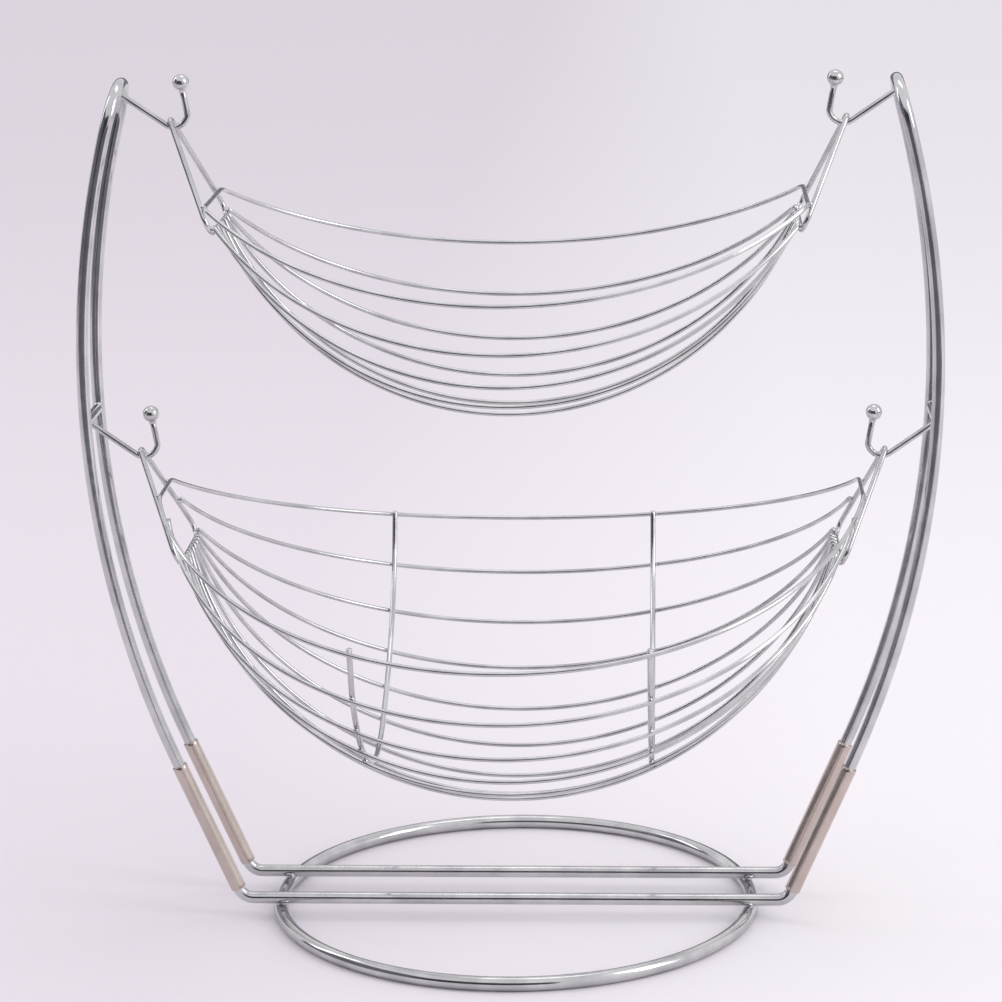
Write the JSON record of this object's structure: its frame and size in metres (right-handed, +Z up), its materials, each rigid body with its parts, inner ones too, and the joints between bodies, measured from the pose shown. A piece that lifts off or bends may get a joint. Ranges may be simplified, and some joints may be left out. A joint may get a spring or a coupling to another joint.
{
  "type": "hanging fruit basket",
  "caption": "Two tier fruit basket: a bowed wire stand on a round base ring carries two hammock shaped wire baskets that swing on ball tipped hooks.",
  "frame": {"origin": "centre of the base ring, on the table", "axes": "+X along the base bars to the right, +Y away from the viewer, +Z up"},
  "size_m": [0.422, 0.3022, 0.4215],
  "materials": {
    "wire": "polished",
    "sleeve": "satin champagne"
  },
  "bodies": {
    "stand": {"base_ring": "wire", "base_bar_front": "wire", "base_bar_back": "wire", "sleeve_left_front": "sleeve", "sleeve_left_back": "sleeve", "sleeve_right_front": "sleeve", "sleeve_right_back": "sleeve", "upright_left": "wire", "upright_right": "wire", "crossbar_left": "wire", "crossbar_right": "wire", "upper_hook_left": "wire", "upper_hook_ball_left": "wire", "upper_hook_right": "wire", "upper_hook_ball_right": "wire", "lower_hook_left": "wire", "lower_hook_ball_left": "wire", "lower_hook_right": "wire", "lower_hook_ball_right": "wire"},
    "upper_basket": {"upper_hanger_left": "wire", "upper_hanger_right": "wire", "upper_rim": "wire", "upper_wire_1": "wire", "upper_wire_2": "wire", "upper_wire_3": "wire", "upper_wire_4": "wire", "upper_wire_5": "wire", "upper_wire_6": "wire", "upper_wire_7": "wire", "upper_wire_8": "wire"},
    "lower_basket": {"lower_hanger_left": "wire", "lower_hanger_right": "wire", "lower_rim": "wire", "lower_wire_1": "wire", "lower_wire_2": "wire", "lower_wire_3": "wire", "lower_wire_4": "wire", "lower_wire_5": "wire", "lower_wire_6": "wire", "lower_wire_7": "wire", "lower_wire_8": "wire", "lower_wire_9": "wire", "lower_wire_10": "wire", "lower_wire_11": "wire", "lower_wire_12": "wire", "lower_rib_left": "wire", "lower_rib_right": "wire"}
  },
  "joints": [
    {"name": "upper_swing", "type": "hinge", "parent": "stand", "child": "upper_basket", "pos_m": [0, 0, 0.396], "axis": [1, 0, 0], "range_deg": [-45, 45]},
    {"name": "lower_swing", "type": "hinge", "parent": "stand", "child": "lower_basket", "pos_m": [0, 0, 0.233], "axis": [1, 0, 0], "range_deg": [-45, 45]}
  ]
}
